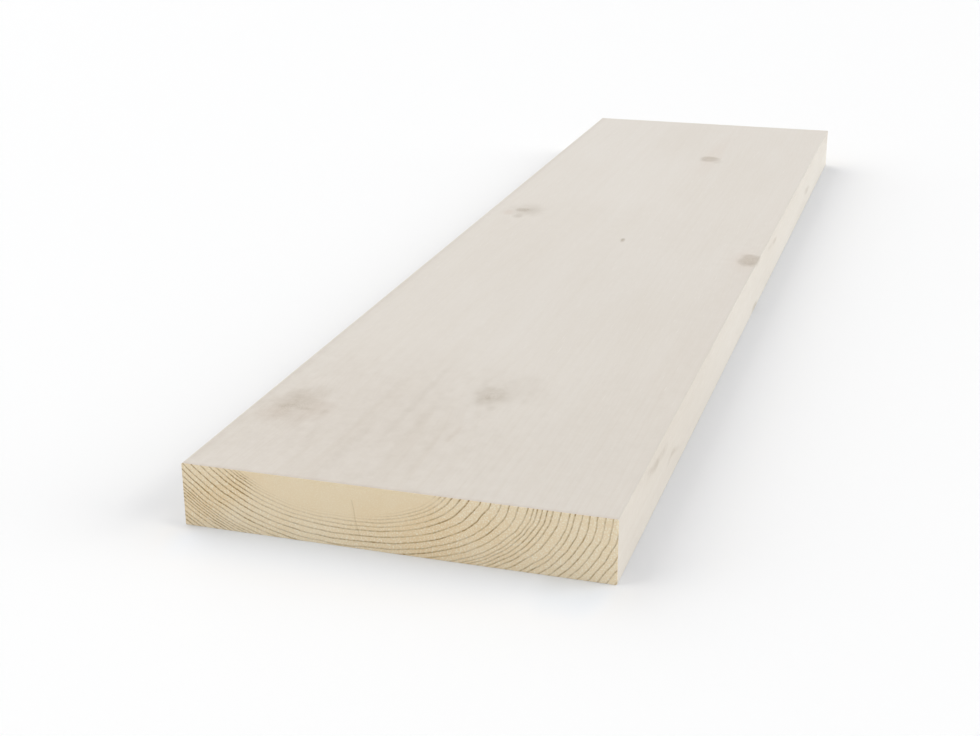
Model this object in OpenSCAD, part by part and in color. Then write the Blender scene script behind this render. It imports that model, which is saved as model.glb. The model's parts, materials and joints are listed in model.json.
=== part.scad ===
// Planed softwood plank.
// One length of board with eased long edges, square-sawn ends and a fine drying check in one end.
// The board lies flat: X runs along it, Y across it, and Z up from its lower face.

/* [Board] */
// Length between the two sawn ends
board_length = 580; // [200:5:2400]
// Width of the two planed faces
board_width = 145; // [70:1:240]
// Thickness between the two planed faces
board_thickness = 22; // [12:0.5:50]
// Radius to which the four long edges are eased
arris_radius = 0.5; // [0.2:0.1:3]

/* [Drying check] */
// Widest opening of the check, at its end nearest the heart
check_opening = 0.35; // [0.1:0.05:1]
// How far the check reaches into the board from the sawn end
check_reach = 9; // [3:1:40]

/* [Hidden] */

// The check follows a wood ray, from its wide end near the heart to its closed tip.
// Places across the sawn end, as shares of the width from the left long edge
check_heart_across_share = 0.406;
check_tip_across_share = 0.424;
// Places down the sawn end, as shares of the thickness from the upper face
check_heart_down_share = 0.236;
check_tip_down_share = 0.795;
// Level at which the check reaches deepest, as a share of the thickness from the upper face
check_deepest_down_share = 0.36;
// Length by which the cut runs out past the sawn end
cut_overrun = 2;
// Sides of a full circle
$fn = 48;

sawn_end_x = -board_length / 2;

// Place across the board, measured from its left long edge
function across(share) = board_width / 2 - share * board_width;
// Level in the board, measured from its upper face
function level(share) = board_thickness - share * board_thickness;

// The planed section: a rectangle with its four corners eased to true arcs
module eased_section() {
    translate([0, board_thickness / 2]) {
        square([board_width - 2 * arris_radius, board_thickness], center = true);
        square([board_width, board_thickness - 2 * arris_radius], center = true);
        for (side = [-1, 1], face = [-1, 1])
            translate([
                side * (board_width / 2 - arris_radius),
                face * (board_thickness / 2 - arris_radius)
            ])
                circle(r = arris_radius);
    }
}

// The check as it opens in the sawn end: a sliver that closes to a point
module check_mouth() {
    polygon([
        [across(check_heart_across_share) - check_opening / 2, level(check_heart_down_share)],
        [across(check_heart_across_share) + check_opening / 2, level(check_heart_down_share)],
        [across(check_tip_across_share), level(check_tip_down_share)]
    ]);
}

// The check as it runs into the board, seen from the side: it closes away from the sawn end
module check_run() {
    polygon([
        [sawn_end_x - cut_overrun, level(check_tip_down_share)],
        [sawn_end_x, level(check_tip_down_share)],
        [sawn_end_x + check_reach, level(check_deepest_down_share)],
        [sawn_end_x, level(check_heart_down_share)],
        [sawn_end_x - cut_overrun, level(check_heart_down_share)]
    ]);
}

module drying_check() {
    intersection() {
        translate([sawn_end_x - cut_overrun, 0, 0])
            rotate([90, 0, 90])
                linear_extrude(height = check_reach + cut_overrun)
                    check_mouth();
        rotate([90, 0, 0])
            linear_extrude(height = board_width, center = true)
                check_run();
    }
}

module plank() {
    color("#e0dad1")
        difference() {
            translate([sawn_end_x, 0, 0])
                rotate([90, 0, 90])
                    linear_extrude(height = board_length)
                        eased_section();
            drying_check();
        }
}

plank();
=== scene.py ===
"""Looks for a planed spruce plank with a thin white stain, lying on a pale studio floor.

The plank is one skin of faces. A model of the log's growth rings and branches gives every point of that skin
its ring age, its grain direction and its share of knot, and the finishes and the relief both follow them.
"""

import json
import logging
import math
from collections.abc import Callable
from dataclasses import dataclass, field
from enum import Enum
from functools import partial

import bpy
import numpy as np
from mathutils import Matrix, Vector

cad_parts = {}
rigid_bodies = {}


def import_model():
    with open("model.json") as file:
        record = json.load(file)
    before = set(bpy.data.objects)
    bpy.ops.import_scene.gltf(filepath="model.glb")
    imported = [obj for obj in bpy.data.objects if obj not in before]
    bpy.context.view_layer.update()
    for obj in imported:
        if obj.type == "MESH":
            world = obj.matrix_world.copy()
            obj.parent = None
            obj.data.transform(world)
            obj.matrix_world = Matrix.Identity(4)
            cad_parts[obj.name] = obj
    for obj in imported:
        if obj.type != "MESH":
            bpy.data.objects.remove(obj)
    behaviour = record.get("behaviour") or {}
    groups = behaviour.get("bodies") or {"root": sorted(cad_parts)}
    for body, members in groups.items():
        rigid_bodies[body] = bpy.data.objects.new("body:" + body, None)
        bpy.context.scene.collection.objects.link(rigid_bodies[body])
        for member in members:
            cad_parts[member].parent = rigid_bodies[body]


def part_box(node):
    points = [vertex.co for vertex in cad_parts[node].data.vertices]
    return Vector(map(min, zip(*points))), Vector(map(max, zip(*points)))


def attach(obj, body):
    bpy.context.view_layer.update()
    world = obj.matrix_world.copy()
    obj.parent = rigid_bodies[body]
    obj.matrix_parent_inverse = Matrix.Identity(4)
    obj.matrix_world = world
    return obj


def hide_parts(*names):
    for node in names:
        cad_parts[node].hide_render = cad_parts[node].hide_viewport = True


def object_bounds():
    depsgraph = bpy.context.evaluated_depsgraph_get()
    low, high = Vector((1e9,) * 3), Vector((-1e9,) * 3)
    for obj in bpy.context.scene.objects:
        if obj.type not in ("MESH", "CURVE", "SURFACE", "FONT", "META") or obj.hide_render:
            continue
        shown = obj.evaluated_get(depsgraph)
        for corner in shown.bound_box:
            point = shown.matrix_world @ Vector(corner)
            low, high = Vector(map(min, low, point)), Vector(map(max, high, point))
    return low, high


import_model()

CAD_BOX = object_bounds()
MM = 0.001
SPRUCE_IOR = 1.48
# Where nearly all the values of a noise texture lie
NOISE_RANGE = (0.3, 0.7)
# Sockets of a node that mixes colours, by number because its other mixes have sockets of the same names
MIX_SHARE, MIX_UNDER, MIX_OVER, MIX_COLOUR = 0, 6, 7, 2
LOG = logging.getLogger("plank")


def linear(hex_colour: str) -> tuple[float, float, float, float]:
    """Turns an sRGB hex colour into the linear colour that shaders use.

    Args:
        hex_colour: six hex digits after a hash mark.

    Returns:
        Linear red, green and blue, with an alpha of one.
    """
    shares = [int(hex_colour[i : i + 2], 16) / 255 for i in (1, 3, 5)]
    red, green, blue = [c / 12.92 if c <= 0.04045 else ((c + 0.055) / 1.055) ** 2.4 for c in shares]
    return red, green, blue, 1.0


def add_node(
    tree: bpy.types.NodeTree,
    kind: str,
    inputs: list | dict | None = None,
    output: int | str = 0,
    **settings: object,
) -> bpy.types.NodeSocket:
    """Adds one shader node with its settings and links.

    Args:
        tree: the material's node tree.
        kind: the node's type name, without its ShaderNode prefix.
        inputs: values, or output sockets to link: a list for the first inputs in their order, or a dict
            for inputs by name or number.
        output: the name or number of the output to hand back.
        settings: the node's own properties.

    Returns:
        That output socket.
    """
    node = tree.nodes.new(f"ShaderNode{kind}")
    for name, value in settings.items():
        setattr(node, name, value)
    pairs = enumerate(inputs) if isinstance(inputs, list) else (inputs or {}).items()
    for socket, value in pairs:
        if isinstance(value, bpy.types.NodeSocket):
            tree.links.new(value, node.inputs[socket])
        else:
            node.inputs[socket].default_value = value
    return node.outputs[output]


def new_material(name: str) -> tuple[bpy.types.Material, bpy.types.NodeTree, bpy.types.Node]:
    """Makes a material with a principled shader.

    Args:
        name: the material's name.

    Returns:
        The material, its node tree and its principled shader node.
    """
    material = bpy.data.materials.new(name)
    material.use_nodes = True
    tree = material.node_tree
    shader = next(node for node in tree.nodes if node.type == "BSDF_PRINCIPLED")
    return material, tree, shader


def smooth_step(values: np.ndarray, start: float, end: float) -> np.ndarray:
    """Rises smoothly from 0 at start to 1 at end.

    Args:
        values: any array.
        start: where the rise begins; it may be above end, for a fall.
        end: where the rise is complete.

    Returns:
        An array like values, from 0 to 1.
    """
    share = np.clip((values - start) / (end - start), 0.0, 1.0)
    return share * share * (3.0 - 2.0 * share)


@dataclass(frozen=True)
class LatticeNoise:
    """Smooth random values on a lattice, the same in every run.

    The lattice has one cell size, in millimetres, along, across and through the plank.
    """

    seed: int
    cell: tuple[float, float, float]
    table_size: int = 4096
    primes: tuple[int, int, int] = (73856093, 19349663, 83492791)

    def at(self, points: np.ndarray) -> np.ndarray:
        """Reads the noise.

        Args:
            points: places in millimetres, one row each.

        Returns:
            A value from -1 to 1 for each place.
        """
        table = np.random.default_rng(self.seed).uniform(-1.0, 1.0, self.table_size)
        scaled = points / np.array(self.cell)
        base = np.floor(scaled).astype(np.int64)
        blend = smooth_step(scaled - base, 0.0, 1.0)
        total = np.zeros(len(points))
        for corner in np.ndindex(2, 2, 2):
            keys = (base + corner) * np.array(self.primes)
            value = table[(keys[:, 0] ^ keys[:, 1] ^ keys[:, 2]) % self.table_size]
            total += value * np.prod(np.where(corner, blend, 1.0 - blend), axis=1)
        return total


class Side(Enum):
    """The plank's six sides. The first four go round its section."""

    LOWER = "lower face"
    LEFT = "left edge"
    UPPER = "upper face"
    RIGHT = "right edge"
    NEAR_END = "checked end"
    FAR_END = "plain end"


class Finish(Enum):
    """The plank's finishes, as the numbers of its material slots."""

    FACE = 0
    EDGE = 1
    END = 2


ALL_SIDES = tuple(Side)
SECTION = ALL_SIDES[:4]
WIDE_SIDES = (Side.LOWER, Side.UPPER)
ENDS = (Side.NEAR_END, Side.FAR_END)
HIDDEN = (Side.LOWER, Side.LEFT)


@dataclass(frozen=True)
class Blot:
    """A soft-edged patch of another tone: a lobe of a knot, a streak, a thin place in the stain, or a darker
    band along a rim.

    Sizes are in millimetres. On a face or an edge, along is counted from the checked end, and across from
    the left edge or down from the upper face. On an end, along is counted from the left edge, and across
    down from the upper face. brown and flush are how much of the knot's brown and of the resin's red show
    through the stain, or on an end how much darker the late wood is and how much warmer the early wood.
    soft is how far the rim fades as a share of the size, pit is how deep the patch has shrunk, push is how
    many growth rings the branch has pushed outwards, turn is in degrees, and power is 2 for an oval and
    higher for a squarer patch.
    """

    side: Side
    along: float
    across: float
    half_along: float
    half_across: float
    brown: float = 0.0
    flush: float = 0.0
    soft: float = 0.5
    pit: float = 0.0
    push: float = 0.0
    turn: float = 0.0
    power: float = 2.0

    def reach(self, along: np.ndarray, across: np.ndarray) -> np.ndarray:
        """Distance from the blot's middle.

        Args:
            along: the first coordinate of each place on the blot's side.
            across: the second coordinate.

        Returns:
            The distance as a multiple of the blot's size, so 1 is its rim.
        """
        angle = math.radians(self.turn)
        shift_along = along - self.along
        shift_across = across - self.across
        length_wise = shift_along * math.cos(angle) + shift_across * math.sin(angle)
        cross_wise = shift_across * math.cos(angle) - shift_along * math.sin(angle)
        shares = (np.abs(length_wise) / self.half_along, np.abs(cross_wise) / self.half_across)
        return (shares[0] ** self.power + shares[1] ** self.power) ** (1 / self.power)


@dataclass(frozen=True)
class Crack:
    """A fine open crack along a line of points on one side. Sizes are in millimetres.

    Points are counted as a blot's middle is. The crack narrows from its first point to tip_share of its width
    at the last, and core is the share of its width that is fully open.
    """

    side: Side
    points: tuple[tuple[float, float], ...]
    half_width: float
    depth: float
    tip_share: float
    core: float = 0.2

    def openness(self, first: np.ndarray, second: np.ndarray) -> np.ndarray:
        """How far the crack is open at each place.

        Args:
            first: the first coordinate of each place on the side.
            second: the second coordinate.

        Returns:
            1 in the crack's middle, falling to 0 at its lips.
        """
        nearest = np.full(first.shape, np.inf)
        spans = len(self.points) - 1
        for index, (start, end) in enumerate(zip(self.points, self.points[1:])):
            run = np.array(end) - np.array(start)
            share = ((first - start[0]) * run[0] + (second - start[1]) * run[1]) / (run @ run)
            share = np.clip(share, 0.0, 1.0)
            distance = np.hypot(first - start[0] - share * run[0], second - start[1] - share * run[1])
            width = self.half_width * (1.0 - (1.0 - self.tip_share) * (index + share) / spans)
            nearest = np.minimum(nearest, distance / width)
        return smooth_step(nearest, 1.0, self.core)


@dataclass(frozen=True)
class RingHalf:
    """Shape of the growth rings to one side of the heart, as ovals with free powers.

    Sizes are in millimetres. spread and down_power hold for a ring of at_size, and widening and down_fall are
    how they change as the rings grow.
    """

    spread: float
    widening: float
    down_power: float
    down_fall: float
    across_power: float
    at_size: float = 40.0

    def fill(self, down: np.ndarray, across: np.ndarray, size: np.ndarray) -> np.ndarray:
        """Tells whether points lie inside or outside rings of the given size.

        Args:
            down: depth of each point under the heart.
            across: distance of each point from the heart's line.
            size: depth of the ring under the heart.

        Returns:
            Under 1 inside the ring, 1 on it and over 1 outside.
        """
        scale = size / self.at_size
        power = self.down_power - self.down_fall * np.log(scale)
        return (down / size) ** power + (across / (self.spread * scale**self.widening)) ** self.across_power


@dataclass(frozen=True)
class Timber:
    """The wood of the plank: growth rings, grain, knots and cracks. Sizes are in millimetres.

    A ring is known by its depth below the upper face on the heart's line, at the checked end. growth_spells
    gives how many rings of what width follow each other out from the heart. The heart shifts sideways from
    ring to ring, and it sways and rises along the plank. Branches push and part the rings around them, over
    so many times their own size.
    """

    length: float
    width: float
    thickness: float
    blots: tuple[Blot, ...]
    cracks: tuple[Crack, ...]
    heart_from_left: float = 53.8
    heart_above: float = 13.9
    heart_shift: float = 0.046
    heart_shift_from: float = 24.0
    heart_sway: float = 5.0
    heart_rise: float = 7.0
    right: RingHalf = RingHalf(63.15, 1.024, 2.95, 0.0, 2.22)
    left: RingHalf = RingHalf(68.2, 0.838, 1.467, 0.211, 2.1)
    growth_spells: tuple[tuple[int, float], ...] = (
        (10, 2.3), (3, 0.88), (1, 1.15), (2, 1.45), (3, 1.95), (3, 1.6), (1, 1.05), (1, 0.75), (3, 0.95),
        (1, 1.35), (1, 1.75), (1, 1.0), (16, 1.4),
    )
    drift: LatticeNoise = LatticeNoise(11, (140.0, 22.0, 14.0))
    ripple: LatticeNoise = LatticeNoise(12, (18.0, 5.0, 3.5))
    rag: LatticeNoise = LatticeNoise(13, (4.5, 3.2, 2.4))
    drift_size: float = 0.12
    ripple_size: float = 0.18
    rag_share: float = 0.16
    no_branch: float = 30.0
    push_long: float = 2.6
    push_wide: float = 1.5
    parting_long: float = 1.6
    parting_core: float = 0.7
    slope_step: float = 0.2
    ring_sizes: tuple[float, float] = (1.0, 580.0)
    halvings: int = 40

    def on_side(self, points: np.ndarray, side: Side) -> tuple[np.ndarray, np.ndarray]:
        """Finds where points lie on a side.

        Args:
            points: places in millimetres in the plank's frame.
            side: the side they are on.

        Returns:
            Their two coordinates there, as Blot and Crack count them.
        """
        along = points[:, 0] + self.length / 2
        from_left = self.width / 2 - points[:, 1]
        down = self.thickness - points[:, 2]
        if side in ENDS:
            return from_left, down
        return (along, from_left) if side in WIDE_SIDES else (along, down)

    def ring_depth(self, points: np.ndarray) -> np.ndarray:
        """Finds the ring that passes through each point, by halving.

        Args:
            points: places in millimetres in the plank's frame.

        Returns:
            The depth of that ring below the upper face, on the heart's line.
        """
        share = points[:, 0] / self.length + 0.5
        heart = self.heart_from_left + self.heart_sway * np.sin(math.pi * share) * share
        from_heart = self.width / 2 - points[:, 1] - heart
        down = self.thickness - points[:, 2] + self.heart_above + self.heart_rise * share
        low, high = (np.full(len(points), size) for size in self.ring_sizes)
        for _ in range(self.halvings):
            middle = 0.5 * (low + high)
            across = from_heart - self.heart_shift * (middle - self.heart_shift_from)
            right = self.right.fill(down, np.abs(across), middle)
            left = self.left.fill(down, np.abs(across), middle)
            outside = np.where(across > 0, right, left) > 1.0
            low = np.where(outside, middle, low)
            high = np.where(outside, high, middle)
        wander = self.drift_size * self.drift.at(points) + self.ripple_size * self.ripple.at(points)
        return middle - self.heart_above + wander

    def ring_width(self, points: np.ndarray, depth: np.ndarray, age: np.ndarray) -> np.ndarray:
        """Measures how wide the ring is at each point, square to the ring.

        Args:
            points: places in millimetres in the plank's frame.
            depth: the ring depth of each.
            age: the rings counted out from the heart, for each.

        Returns:
            The widths in millimetres.
        """
        steps = self.slope_step * np.eye(3)[1:]
        rises = [(self.ring_depth(points + step) - depth) / self.slope_step for step in steps]
        counts, spell_widths = zip(*self.growth_spells)
        widths = np.repeat(spell_widths, counts)
        return widths[np.clip(age.astype(int), 0, len(widths) - 1)] / np.hypot(*rises)

    def read(self, points: np.ndarray, side: Side) -> dict[str, np.ndarray]:
        """Reads everything that the finishes and the relief need to know of the wood.

        Growth rings bulge and the grain parts round a branch, as water parts round a stone.

        Args:
            points: places in millimetres in the plank's frame.
            side: the side they are on.

        Returns:
            The rings counted out from the heart, where a whole number is the dark rim of one; how wide they
            are; where each place would lie if the grain ran straight; how far each is from a branch's own
            heart; the shares of brown, red flush and open crack; and the depths of pits and cracks.
        """
        counts = np.cumsum([0, *(count for count, _ in self.growth_spells)])
        depths = np.cumsum([0.0, *(count * width for count, width in self.growth_spells)])
        ring_depth = self.ring_depth(points)
        age = np.interp(ring_depth, depths - self.heart_above, counts)
        width = self.ring_width(points, ring_depth, age)
        grain = points.copy()
        brown, flush, crack, sunk = (np.zeros(len(points)) for _ in range(4))
        branch = np.full(len(points), self.no_branch)
        rag = 1.0 + self.rag_share * self.rag.at(points)
        first, second = self.on_side(points, side)
        axis = 1 if side in WIDE_SIDES else 2
        for blot in (blot for blot in self.blots if blot.side is side):
            reach = blot.reach(first, second) * rag
            share = smooth_step(reach, 1.0 + blot.soft, 1.0 - blot.soft)
            brown += blot.brown * share
            flush += blot.flush * share
            sunk = np.maximum(sunk, blot.pit * share)
            long = (first - blot.along) / blot.half_along
            wide = (second - blot.across) / blot.half_across
            age += blot.push * np.exp(-((long / self.push_long) ** 2) - (wide / self.push_wide) ** 2)
            if blot.push:
                apart = (long / self.parting_long) ** 2 + wide**2 + self.parting_core
                grain[:, axis] += (second - blot.across) / apart
                branch = np.minimum(branch, reach * math.sqrt(blot.half_along * blot.half_across))
        for line in (line for line in self.cracks if line.side is side):
            openness = line.openness(first, second)
            crack = np.maximum(crack, openness)
            sunk = np.maximum(sunk, line.depth * openness)
        marks = {"branch": branch, "brown": brown, "flush": flush, "crack": crack, "sunk": sunk}
        return {"ring_age": age, "ring_width": width, "grain": grain} | marks


@dataclass(frozen=True)
class WhiteStainedSpruce:
    """Planed spruce under one thin coat of white stain.

    Planing leaves it smooth and the stain pale and even, so the eye sees a warm white with only a breath of
    grain, a satin sheen at low angles, and the knots as soft brown clouds. Sizes are in millimetres, along
    and across the grain; the fibres are drawn coarser than real ones, so that they show. A swing or a show
    is a share of bare wood, and a pair of other values is where a change starts and where it is complete.
    """

    name: str
    stain: str
    wood: str = "#C2B29A"
    knot: str = "#8F7D62"
    flush: str = "#BE8E6E"
    fleck: str = "#F3EFE8"
    streak_size: tuple[float, float] = (95.0, 2.4)
    fibre_size: tuple[float, float] = (11.0, 0.4)
    cloud_size: tuple[float, float] = (130.0, 38.0)
    streak_detail: float = 4.0
    soft_detail: float = 2.0
    pattern_roughness: float = 0.6
    bare: float = 0.16
    streak_swing: float = 0.022
    cloud_swing: float = 0.05
    fibre_swing: float = 0.016
    ring_swell: tuple[float, float] = (0.35, 0.9)
    ring_close: tuple[float, float] = (1.0, 0.92)
    ring_show: float = 0.03
    bare_ring_show: float = 0.09
    bare_length: float = 170.0
    fleck_fibre: tuple[float, float] = (0.34, 0.24)
    fleck_knot: tuple[float, float] = (0.2, 0.05)
    fleck_show: float = 0.5
    mottle_size: float = 2.6
    mottle_detail: float = 3.0
    mottle_roughness: float = 0.65
    mottle_range: tuple[float, float] = (0.28, 0.72)
    mottle_tone: tuple[float, float] = (0.82, 1.18)
    branch_ring: float = 1.1
    branch_sway: float = 9.0
    branch_core: float = 8.0
    branch_show: float = 0.2
    roughness: tuple[float, float] = (0.5, 0.61)
    ring_height: float = 0.5
    relief: float = 0.05
    bump: float = 0.15

    def material(self) -> bpy.types.Material:
        """Builds the finish as a material.

        Returns:
            The material.
        """
        material, tree, shader = new_material(self.name)
        add = partial(add_node, tree)
        grain = add("Attribute", output="Vector", attribute_name="grain")
        # Streaks, fibres and clouds of stain, each drawn out along the grain
        patterns = []
        sizes = (self.streak_size, self.fibre_size, self.cloud_size)
        for (long, wide), detail in zip(sizes, (self.streak_detail, self.soft_detail, self.soft_detail)):
            place = add("VectorMath", [grain, (1 / long, 1 / wide, 1 / wide)], operation="MULTIPLY")
            noise = {"Vector": place, "Scale": 1.0, "Detail": detail, "Roughness": self.pattern_roughness}
            patterns.append(add("TexNoise", noise))
        streak, fibre, cloud = patterns
        # The rings, as faint lines that end sharply on their outer side and come and go with the streaks
        age = add("Attribute", output="Fac", attribute_name="ring_age")
        phase = add("Math", [age], operation="FRACT")
        swell = add("MapRange", [phase, *self.ring_swell], interpolation_type="SMOOTHSTEP")
        close = add("MapRange", [phase, *self.ring_close], interpolation_type="SMOOTHSTEP")
        ring = add("Math", [swell, close], operation="MULTIPLY")
        ring = add("Math", [ring, streak], operation="MULTIPLY")
        # The stain was wiped thinner towards the checked end, so more of the rings shows there
        along = add("SeparateXYZ", [grain])
        end = CAD_BOX[0].x / MM
        share = add("MapRange", [along, end + self.bare_length, end, self.ring_show, self.bare_ring_show])
        show = add("Math", [ring, share, self.bare], operation="MULTIPLY_ADD")
        swings = (self.streak_swing, self.fibre_swing, self.cloud_swing)
        for pattern, swing in zip(patterns, swings):
            part = add("MapRange", [pattern, *NOISE_RANGE, -swing, swing])
            show = add("Math", [show, part], operation="ADD")
        tones = {MIX_SHARE: show, MIX_UNDER: linear(self.stain), MIX_OVER: linear(self.wood)}
        colour = add("Mix", tones, output=MIX_COLOUR, data_type="RGBA")
        # Pale flecks where the fibres lifted and held more stain, but none on the knots
        fleck = add("MapRange", [fibre, *self.fleck_fibre, 0.0, self.fleck_show])
        knot = add("Attribute", output="Fac", attribute_name="brown")
        clear = add("MapRange", [knot, *self.fleck_knot])
        fleck = add("Math", [fleck, clear], operation="MULTIPLY")
        tones = {MIX_SHARE: fleck, MIX_UNDER: colour, MIX_OVER: linear(self.fleck)}
        colour = add("Mix", tones, output=MIX_COLOUR, data_type="RGBA")
        height = add("Math", [ring, self.ring_height, fibre], operation="MULTIPLY_ADD")
        surface = {
            "Base Color": self.mark(add, colour),
            "Roughness": add("MapRange", [fibre, *NOISE_RANGE, *self.roughness]),
            "Normal": add("Bump", {"Strength": self.bump, "Distance": self.relief * MM, "Height": height}),
        }
        for socket, value in surface.items():
            tree.links.new(value, shader.inputs[socket])
        shader.inputs["IOR"].default_value = SPRUCE_IOR
        return material

    def mark(self, add: Callable, colour: bpy.types.NodeSocket) -> bpy.types.NodeSocket:
        """Lays knots and resin over the stain, their tone broken by a fine mottle and the branch's own rings.

        Args:
            add: adds a node to the material.
            colour: the colour of the stained wood.

        Returns:
            The colour with its marks.
        """
        noise = {"Vector": add("TexCoord", output="Object"), "Scale": 1 / (self.mottle_size * MM)}
        noise |= {"Detail": self.mottle_detail, "Roughness": self.mottle_roughness}
        mottle = add("TexNoise", noise)
        broken = add("MapRange", [mottle, *self.mottle_range, *self.mottle_tone])
        branch = add("Attribute", output="Fac", attribute_name="branch")
        sway = add("MapRange", [mottle, 0.0, 1.0, -self.branch_sway, self.branch_sway])
        turns = add("Math", [branch, math.tau / self.branch_ring, sway], operation="MULTIPLY_ADD")
        wave = add("Math", [turns], operation="SINE")
        inner = add("MapRange", [branch, self.branch_core, 0.0, 0.0, self.branch_show])
        broken = add("Math", [wave, inner, broken], operation="MULTIPLY_ADD")
        for name, tint in (("flush", self.flush), ("brown", self.knot)):
            share = add("Attribute", output="Fac", attribute_name=name)
            share = add("Math", [share, broken], operation="MULTIPLY", use_clamp=True)
            tones = {MIX_SHARE: share, MIX_UNDER: colour, MIX_OVER: linear(tint)}
            colour = add("Mix", tones, output=MIX_COLOUR, data_type="RGBA")
        return colour


@dataclass(frozen=True)
class SawnSpruceEnd:
    """Bare spruce, sawn across the grain and left raw.

    The saw cuts the tubes of the wood square, so the end drinks the light: it is matt and straw-coloured,
    with pale early wood, thin darker lines of late wood and a fine pale speckle. Sizes are in millimetres;
    the speckle is drawn coarser than real tubes, so that it shows. Late wood is measured back from the outer
    rim of its ring, and a tone is the least and the most that a line keeps of its strength.
    """

    early: str = "#ECDBBB"
    early_warm: str = "#E7CFA6"
    late: str = "#96773F"
    speckle: str = "#F5ECD6"
    # Colour of the check: painted shade in its narrow recess
    crack: str = "#87704A"
    crack_shade_show: float = 0.2
    cloud_size: float = 16.0
    fade_size: float = 6.0
    dash_size: float = 0.9
    wobble_size: float = 2.2
    pore_size: float = 0.45
    noise_detail: float = 2.0
    cloud_share: float = 0.35
    pale_pore: tuple[float, float] = (0.48, 0.7)
    heart_pale: float = 0.3
    ring_sway: float = 0.08
    first_ring: float = 10.3
    clear_ring: float = 18.5
    late_width: float = 0.7
    late_core: float = 0.24
    late_stop: float = 0.07
    late_spare: tuple[float, float] = (0.2, 0.6)
    year_tone: tuple[float, float] = (0.5, 0.76)
    fade_tone: tuple[float, float] = (0.6, 1.1)
    dash_tone: tuple[float, float] = (0.5, 1.3)
    deepest: float = 1.6
    dark_years: float = 5.0
    roughness: float = 0.78
    specular: float = 0.3
    late_height: float = 0.6
    relief: float = 0.1
    bump: float = 0.4

    def material(self) -> bpy.types.Material:
        """Builds the finish as a material.

        Returns:
            The material.
        """
        material, tree, shader = new_material("raw_sawn_spruce_end_grain")
        add = partial(add_node, tree)
        place = add("TexCoord", output="Object")
        noises = []
        for size in (self.cloud_size, self.fade_size, self.dash_size, self.wobble_size, self.pore_size):
            noise = {"Vector": place, "Scale": 1 / (size * MM), "Detail": self.noise_detail}
            noises.append(add("TexNoise", noise))
        cloud, fade, dash, wobble, pore = noises
        # Late wood darkens slowly outwards and stops at once where the next spring begins
        age = add("Attribute", output="Fac", attribute_name="ring_age")
        sway = add("MapRange", [wobble, 0.0, 1.0, -self.ring_sway, self.ring_sway])
        moved = add("Math", [age, sway], operation="ADD")
        phase = add("Math", [moved], operation="FRACT")
        to_rim = add("Math", [1.0, phase], operation="SUBTRACT")
        width = add("Attribute", output="Fac", attribute_name="ring_width")
        back = add("Math", [to_rim, width], operation="MULTIPLY")
        late = add("MapRange", [back, self.late_width, self.late_core], interpolation_type="SMOOTHSTEP")
        stop = add("MapRange", [back, 0.0, self.late_stop], interpolation_type="SMOOTHSTEP")
        spare = add("MapRange", [phase, *self.late_spare])
        # Some years are darker than others, and each line fades and breaks up along its length
        year = add("Math", [moved], operation="FLOOR")
        chance = add("TexWhiteNoise", {"W": year}, noise_dimensions="1D")
        strength = add("MapRange", [chance, 0.0, 1.0, *self.year_tone])
        uneven = add("MapRange", [fade, *NOISE_RANGE, *self.fade_tone])
        dashed = add("MapRange", [dash, *NOISE_RANGE, *self.dash_tone])
        # The first rings round the heart hardly show, but they show sooner where the late wood is darker
        dark = add("Attribute", output="Fac", attribute_name="brown")
        grown = add("Math", [dark, self.dark_years, moved], operation="MULTIPLY_ADD")
        shown = add("MapRange", [grown, self.first_ring, self.clear_ring], interpolation_type="SMOOTHSTEP")
        deep = add("MapRange", [dark, 0.0, 1.0, 1.0, self.deepest])
        for part in (stop, spare, strength, uneven, dashed, shown, deep):
            late = add("Math", [late, part], operation="MULTIPLY")
        # Early wood is warmer in soft clouds, and the cut tubes show as a pale speckle away from the heart
        warm = add("MapRange", [cloud, *NOISE_RANGE, 0.0, self.cloud_share])
        flush = add("Attribute", output="Fac", attribute_name="flush")
        warm = add("Math", [warm, flush], operation="ADD", use_clamp=True)
        pale = add("MapRange", [pore, *self.pale_pore])
        spread = add("MapRange", [shown, 0.0, 1.0, self.heart_pale, 1.0])
        pale = add("Math", [pale, spread], operation="MULTIPLY")
        # The check is painted darker, as painted shade in its narrow recess
        crack = add("Attribute", output="Fac", attribute_name="crack")
        crack = add("Math", [crack, self.crack_shade_show], operation="MULTIPLY")
        colour = linear(self.early)
        layers = ((warm, self.early_warm), (pale, self.speckle), (late, self.late), (crack, self.crack))
        for share, tint in layers:
            tones = {MIX_SHARE: share, MIX_UNDER: colour, MIX_OVER: linear(tint)}
            colour = add("Mix", tones, output=MIX_COLOUR, data_type="RGBA")
        tree.links.new(colour, shader.inputs["Base Color"])
        height = add("Math", [late, self.late_height, pore], operation="MULTIPLY_ADD")
        bump = add("Bump", {"Strength": self.bump, "Distance": self.relief * MM, "Height": height})
        tree.links.new(bump, shader.inputs["Normal"])
        shader.inputs["Roughness"].default_value = self.roughness
        shader.inputs["IOR"].default_value = SPRUCE_IOR
        shader.inputs["Specular IOR Level"].default_value = self.specular
        return material


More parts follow.
